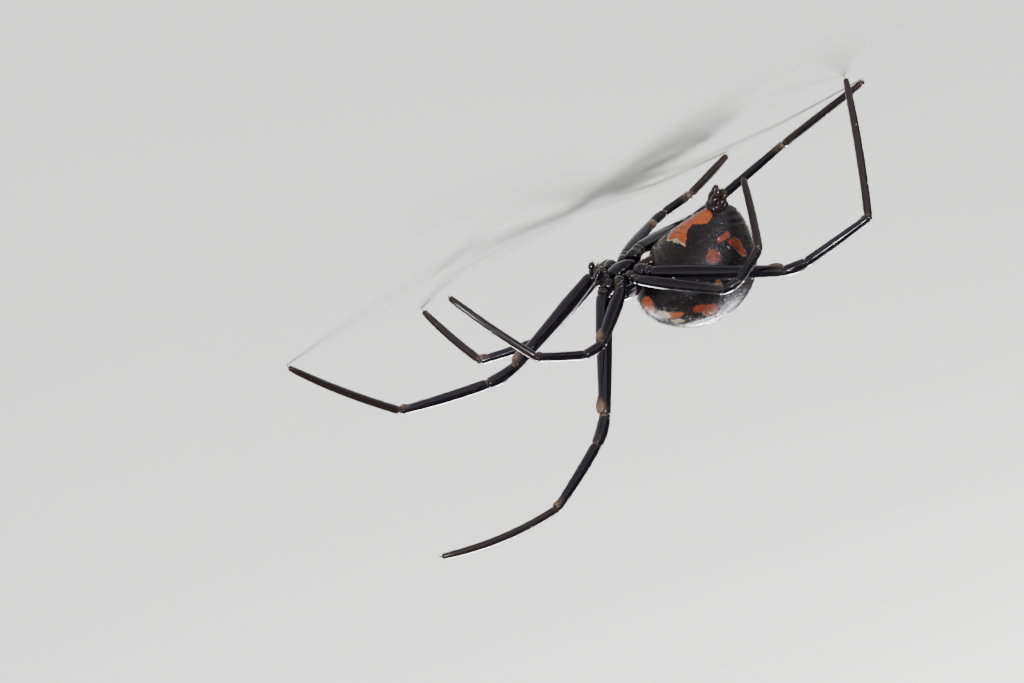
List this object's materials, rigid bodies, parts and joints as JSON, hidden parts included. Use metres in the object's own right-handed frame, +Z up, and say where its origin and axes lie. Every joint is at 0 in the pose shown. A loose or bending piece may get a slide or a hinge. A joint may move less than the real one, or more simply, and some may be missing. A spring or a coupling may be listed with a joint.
{
  "type": "spider model",
  "caption": "Still life-size black widow spider, female, standing low on long slender legs, some of them held in the air.",
  "frame": {"origin": "on the floor, under the middle of the leg span", "axes": "+X towards the head, +Y to the spider's left, +Z up"},
  "size_m": [0.0384, 0.0154, 0.0155],
  "materials": {
    "shell_black": "glossy",
    "shell_brown": "satin",
    "abdomen_skin": "satin"
  },
  "bodies": {
    "root": {"carapace": "shell_black", "sternum": "shell_black", "pedicel": "shell_brown", "abdomen": "abdomen_skin", "spinnerets": "shell_brown", "chelicera_left": "shell_black", "palp_left": "shell_black", "chelicera_right": "shell_black", "palp_right": "shell_black", "left_1_coxa": "shell_black", "left_1_femur": "shell_black", "left_1_tibia": "shell_black", "left_1_foot": "shell_brown", "left_2_coxa": "shell_black", "left_2_femur": "shell_black", "left_2_tibia": "shell_black", "left_2_foot": "shell_brown", "left_3_coxa": "shell_black", "left_3_femur": "shell_black", "left_3_tibia": "shell_black", "left_3_foot": "shell_brown", "left_4_coxa": "shell_black", "left_4_femur": "shell_black", "left_4_tibia": "shell_black", "left_4_foot": "shell_brown", "right_1_coxa": "shell_black", "right_1_femur": "shell_black", "right_1_tibia": "shell_black", "right_1_foot": "shell_brown", "right_2_coxa": "shell_black", "right_2_femur": "shell_black", "right_2_tibia": "shell_black", "right_2_foot": "shell_brown", "right_3_coxa": "shell_black", "right_3_femur": "shell_black", "right_3_tibia": "shell_black", "right_3_foot": "shell_brown", "right_4_coxa": "shell_black", "right_4_femur": "shell_black", "right_4_tibia": "shell_black", "right_4_foot": "shell_brown"}
  },
  "joints": []
}
